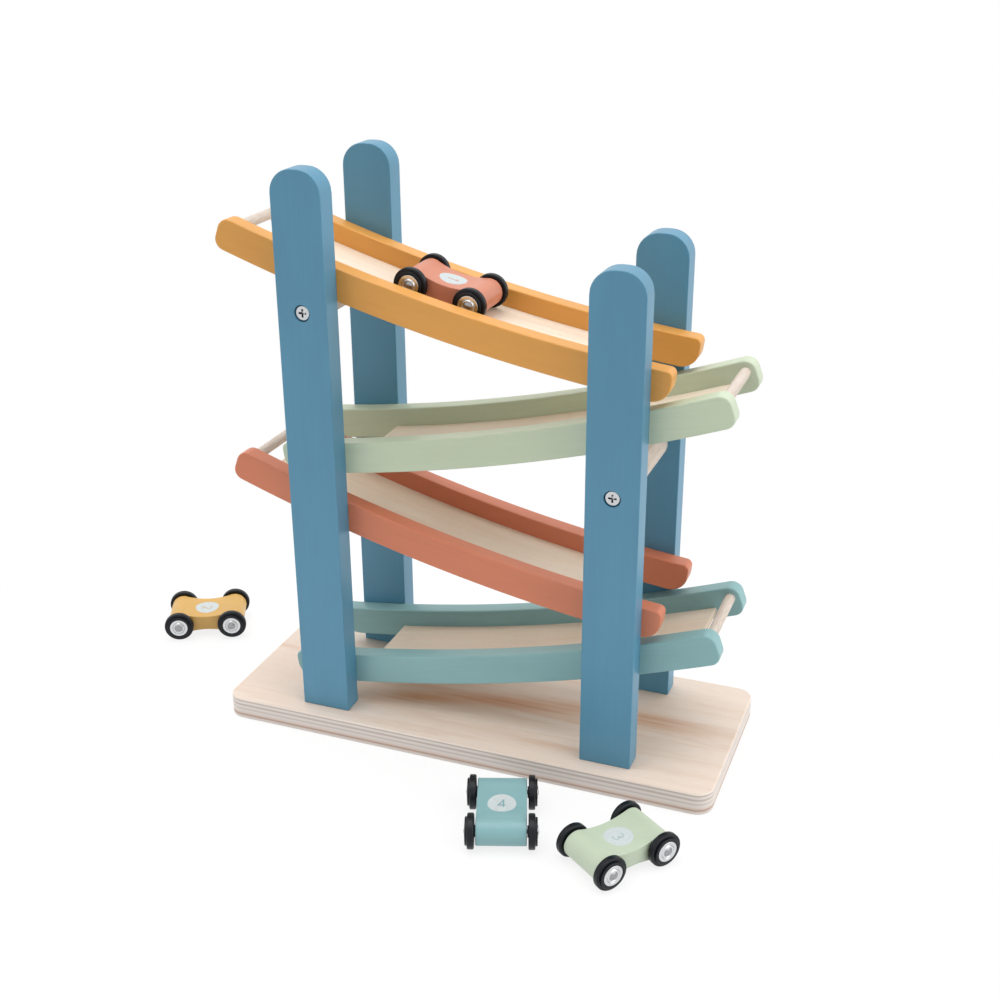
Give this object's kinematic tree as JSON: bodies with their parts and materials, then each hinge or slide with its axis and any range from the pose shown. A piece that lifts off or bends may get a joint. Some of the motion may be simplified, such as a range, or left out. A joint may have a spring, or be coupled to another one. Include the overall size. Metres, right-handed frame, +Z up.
{
  "type": "click clack track toy",
  "caption": "Wooden click clack car track: curved ramps between rounded posts on a base board, with small wheeled cars that roll down and drop from ramp to ramp.",
  "frame": {"origin": "middle of the base board's underside, on the floor", "axes": "+X along the ramps, towards the shorter posts; -Y to the front, +Y to the back; +Z up"},
  "size_m": [0.4029, 0.205, 0.333],
  "materials": {
    "birch_plywood": "bare sanded birch plywood",
    "beech": "bare sanded beech dowel",
    "blue_paint": "satin blue paint on wood",
    "mustard_paint": "satin mustard paint on wood",
    "sage_paint": "satin pale green paint on wood",
    "terracotta_paint": "satin terracotta paint on wood",
    "teal_paint": "satin teal paint on wood",
    "black_plastic": "moulded black plastic, soft gloss",
    "plated_steel": "nickel plated steel",
    "zinc_steel": "zinc plated steel"
  },
  "bodies": {
    "root": {"base_board": "birch_plywood", "post_front_left": "blue_paint", "post_back_left": "blue_paint", "post_front_right": "blue_paint", "post_back_right": "blue_paint", "ramp_1_front_rail": "mustard_paint", "ramp_1_back_rail": "mustard_paint", "ramp_1_deck": "birch_plywood", "ramp_1_dowel": "beech", "ramp_2_front_rail": "sage_paint", "ramp_2_back_rail": "sage_paint", "ramp_2_deck": "birch_plywood", "ramp_2_dowel": "beech", "ramp_3_front_rail": "terracotta_paint", "ramp_3_back_rail": "terracotta_paint", "ramp_3_deck": "birch_plywood", "ramp_3_dowel": "beech", "ramp_4_front_rail": "teal_paint", "ramp_4_back_rail": "teal_paint", "ramp_4_deck": "birch_plywood", "ramp_4_dowel": "beech", "crossbar_left": "beech", "crossbar_right": "beech", "crossbar_screws": "zinc_steel", "base_screws": "zinc_steel", "rail_pins": "beech"},
    "yellow_car": {"yellow_car_body": "mustard_paint"},
    "yellow_car_front_wheelset": {"yellow_car_front_axle": "plated_steel", "yellow_car_front_wheels": "black_plastic", "yellow_car_front_caps": "plated_steel"},
    "yellow_car_rear_wheelset": {"yellow_car_rear_axle": "plated_steel", "yellow_car_rear_wheels": "black_plastic", "yellow_car_rear_caps": "plated_steel"},
    "coral_car": {"coral_car_body": "terracotta_paint"},
    "coral_car_front_wheelset": {"coral_car_front_axle": "plated_steel", "coral_car_front_wheels": "black_plastic", "coral_car_front_caps": "plated_steel"},
    "coral_car_rear_wheelset": {"coral_car_rear_axle": "plated_steel", "coral_car_rear_wheels": "black_plastic", "coral_car_rear_caps": "plated_steel"},
    "green_car": {"green_car_body": "sage_paint"},
    "green_car_front_wheelset": {"green_car_front_axle": "plated_steel", "green_car_front_wheels": "black_plastic", "green_car_front_caps": "plated_steel"},
    "green_car_rear_wheelset": {"green_car_rear_axle": "plated_steel", "green_car_rear_wheels": "black_plastic", "green_car_rear_caps": "plated_steel"},
    "teal_car": {"teal_car_body": "teal_paint"},
    "teal_car_front_wheelset": {"teal_car_front_axle": "plated_steel", "teal_car_front_wheels": "black_plastic", "teal_car_front_caps": "plated_steel"},
    "teal_car_rear_wheelset": {"teal_car_rear_axle": "plated_steel", "teal_car_rear_wheels": "black_plastic", "teal_car_rear_caps": "plated_steel"}
  },
  "joints": [
    {"name": "yellow_car_roll", "type": "slide", "parent": "root", "child": "yellow_car", "axis": [0.8988, 0.4384, 0], "range_m": [-0.05, 0.03]},
    {"name": "yellow_car_front_wheels_turn", "type": "hinge", "parent": "yellow_car", "child": "yellow_car_front_wheelset", "pos_m": [-0.20527, 0.04267, 0.0095], "axis": [-0.4384, 0.8988, 0], "continuous": true},
    {"name": "yellow_car_rear_wheels_turn", "type": "hinge", "parent": "yellow_car", "child": "yellow_car_rear_wheelset", "pos_m": [-0.23673, 0.02733, 0.0095], "axis": [-0.4384, 0.8988, 0], "continuous": true},
    {"name": "coral_car_roll", "type": "hinge", "parent": "root", "child": "coral_car", "pos_m": [0.22852, 0, 1.29617], "axis": [0, -1, 0], "range_deg": [-4.88, 4.05]},
    {"name": "coral_car_front_wheels_turn", "type": "hinge", "parent": "coral_car", "child": "coral_car_front_wheelset", "pos_m": [-0.00396, 0, 0.2609], "axis": [0, 1, 0], "continuous": true},
    {"name": "coral_car_rear_wheels_turn", "type": "hinge", "parent": "coral_car", "child": "coral_car_rear_wheelset", "pos_m": [-0.03797, 0, 0.26914], "axis": [0, 1, 0], "continuous": true},
    {"name": "green_car_roll", "type": "slide", "parent": "root", "child": "green_car", "axis": [0.5906, 0.807, 0], "range_m": [-0.004, 0.014]},
    {"name": "green_car_front_wheels_turn", "type": "hinge", "parent": "green_car", "child": "green_car_front_wheelset", "pos_m": [0.12364, -0.09568, 0.0095], "axis": [-0.807, 0.5906, 0], "continuous": true},
    {"name": "green_car_rear_wheels_turn", "type": "hinge", "parent": "green_car", "child": "green_car_rear_wheelset", "pos_m": [0.10296, -0.12392, 0.0095], "axis": [-0.807, 0.5906, 0], "continuous": true},
    {"name": "teal_car_roll", "type": "slide", "parent": "root", "child": "teal_car", "axis": [-0.3355, 0.9421, 0], "range_m": [-0.05, 0.01]},
    {"name": "teal_car_front_wheels_turn", "type": "hinge", "parent": "teal_car", "child": "teal_car_front_wheelset", "pos_m": [0.04093, -0.08781, 0.0095], "axis": [-0.9421, -0.3355, 0], "continuous": true},
    {"name": "teal_car_rear_wheels_turn", "type": "hinge", "parent": "teal_car", "child": "teal_car_rear_wheelset", "pos_m": [0.05267, -0.12079, 0.0095], "axis": [-0.9421, -0.3355, 0], "continuous": true}
  ],
  "couplings": [
    {"joint": "yellow_car_front_wheels_turn", "follows": "yellow_car_roll", "rad_per_m": 105.26},
    {"joint": "yellow_car_rear_wheels_turn", "follows": "yellow_car_roll", "rad_per_m": 105.26},
    {"joint": "coral_car_front_wheels_turn", "follows": "coral_car_roll", "ratio": 112.71},
    {"joint": "coral_car_rear_wheels_turn", "follows": "coral_car_roll", "ratio": 112.71},
    {"joint": "green_car_front_wheels_turn", "follows": "green_car_roll", "rad_per_m": 105.26},
    {"joint": "green_car_rear_wheels_turn", "follows": "green_car_roll", "rad_per_m": 105.26},
    {"joint": "teal_car_front_wheels_turn", "follows": "teal_car_roll", "rad_per_m": 105.26},
    {"joint": "teal_car_rear_wheels_turn", "follows": "teal_car_roll", "rad_per_m": 105.26}
  ]
}
